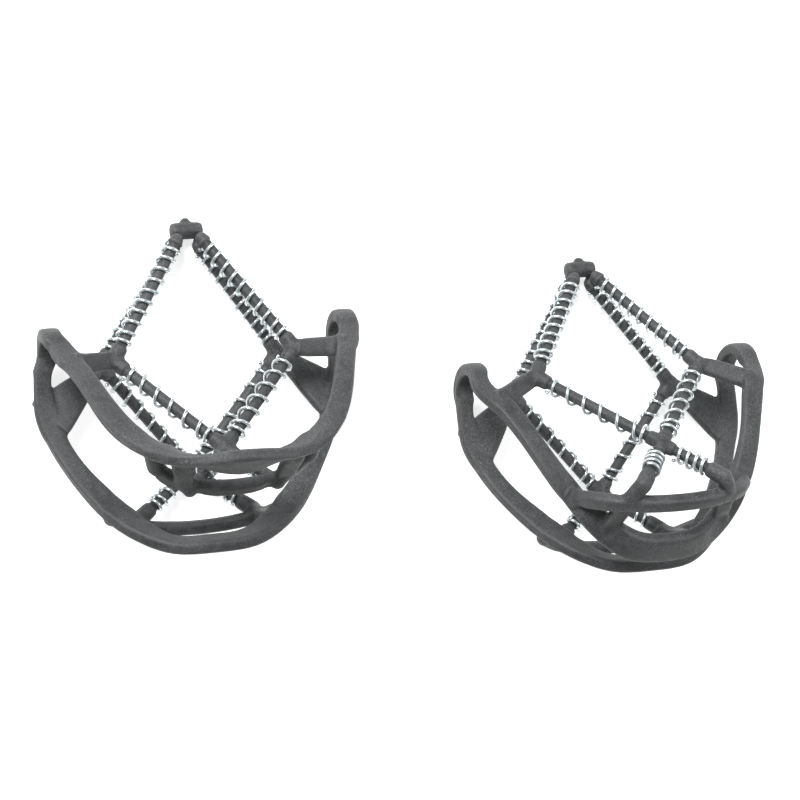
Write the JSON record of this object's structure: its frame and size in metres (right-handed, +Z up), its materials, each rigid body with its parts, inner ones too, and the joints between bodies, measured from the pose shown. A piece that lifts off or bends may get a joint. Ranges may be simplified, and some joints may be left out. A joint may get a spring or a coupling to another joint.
{
  "type": "slip-on ice crampons",
  "caption": "Pair of slip-on ice crampons: folded rubber harnesses with an oval rim, windowed end pieces and steel wire coils wound on diamond-shaped ribs.",
  "frame": {"origin": "floor level under the middle of the pair", "axes": "+X from the left unit to the right unit, +Y from the end pieces towards the mid hubs, +Z up"},
  "size_m": [0.2638, 0.1332, 0.0843],
  "materials": {
    "rubber": "matte moulded elastomer, charcoal grey, fine dusty texture",
    "steel": "bright zinc-plated steel wire"
  },
  "bodies": {
    "left_toe_half": {"left_mid_hub": "rubber", "left_side_loop_l": "rubber", "left_side_loop_r": "rubber", "left_toe_coil_leg_l": "steel", "left_toe_coil_leg_r": "steel", "left_toe_coil_lower_l": "steel", "left_toe_coil_lower_r": "steel", "left_toe_coil_upper_l": "steel", "left_toe_coil_upper_r": "steel", "left_toe_lattice": "rubber", "left_toe_rim": "rubber"},
    "left_heel_half": {"left_heel_coil_leg_l": "steel", "left_heel_coil_leg_r": "steel", "left_heel_coil_lower_l": "steel", "left_heel_coil_lower_r": "steel", "left_heel_coil_upper_l": "steel", "left_heel_coil_upper_r": "steel", "left_heel_lattice": "rubber", "left_heel_rim": "rubber"},
    "right_toe_half": {"right_mid_hub": "rubber", "right_side_loop_l": "rubber", "right_side_loop_r": "rubber", "right_toe_coil_leg_l": "steel", "right_toe_coil_leg_r": "steel", "right_toe_coil_lower_l": "steel", "right_toe_coil_lower_r": "steel", "right_toe_coil_upper_l": "steel", "right_toe_coil_upper_r": "steel", "right_toe_lattice": "rubber", "right_toe_rim": "rubber"},
    "right_heel_half": {"right_heel_coil_leg_l": "steel", "right_heel_coil_leg_r": "steel", "right_heel_coil_lower_l": "steel", "right_heel_coil_lower_r": "steel", "right_heel_coil_upper_l": "steel", "right_heel_coil_upper_r": "steel", "right_heel_lattice": "rubber", "right_heel_rim": "rubber"}
  },
  "joints": [
    {"name": "right_unit_lift", "type": "slide", "parent": "left_toe_half", "child": "right_toe_half", "axis": [0, 0, 1], "range_m": [0, 0.15]},
    {"name": "left_fold", "type": "hinge", "parent": "left_toe_half", "child": "left_heel_half", "pos_m": [-0.07365, 0.06197, 0.00451], "axis": [-1, 0, 0], "range_deg": [-3, 130], "stiffness_Nm_per_rad": 0.4, "deforming": ["left_side_loop_l", "left_side_loop_r"]},
    {"name": "right_fold", "type": "hinge", "parent": "right_toe_half", "child": "right_heel_half", "pos_m": [0.07255, 0.03987, 0.0045], "axis": [-1, 0, 0], "range_deg": [0, 130], "stiffness_Nm_per_rad": 0.4, "deforming": ["right_side_loop_l", "right_side_loop_r"]}
  ]
}
